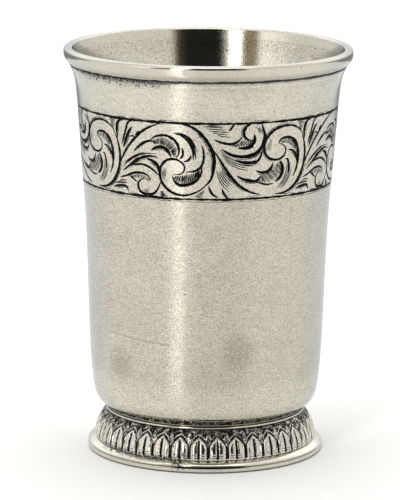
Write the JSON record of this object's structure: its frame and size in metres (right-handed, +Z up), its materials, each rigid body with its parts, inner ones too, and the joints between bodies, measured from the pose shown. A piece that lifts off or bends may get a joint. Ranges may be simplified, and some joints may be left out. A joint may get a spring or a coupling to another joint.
{
  "type": "pewter tumbler",
  "caption": "Footed metal drinking tumbler with a flared moulded lip, an engraved scroll belt round the wall and a cast foot with a leaf border.",
  "frame": {"origin": "middle of the underside of the foot, on the surface that the tumbler stands on", "axes": "+Z up along the tumbler's axis, -Y towards the pictured side, +X to the right of that view"},
  "size_m": [0.0814, 0.0814, 0.115],
  "materials": {
    "satin_pewter": "satin, finely brushed round the axis",
    "polished_pewter": "polished, with darkened seams",
    "cast_pewter": "cast relief, bright on the raised leaves and darkened in the hollows",
    "solder": "dull"
  },
  "bodies": {
    "root": {"cup_wall": "satin_pewter", "cup_floor": "satin_pewter", "rim_wire": "polished_pewter", "neck_wire": "polished_pewter", "base_ring": "polished_pewter", "leaf_ring": "cast_pewter", "rim_solder": "solder", "floor_solder": "solder", "neck_solder": "solder", "base_solder": "solder"}
  },
  "joints": []
}
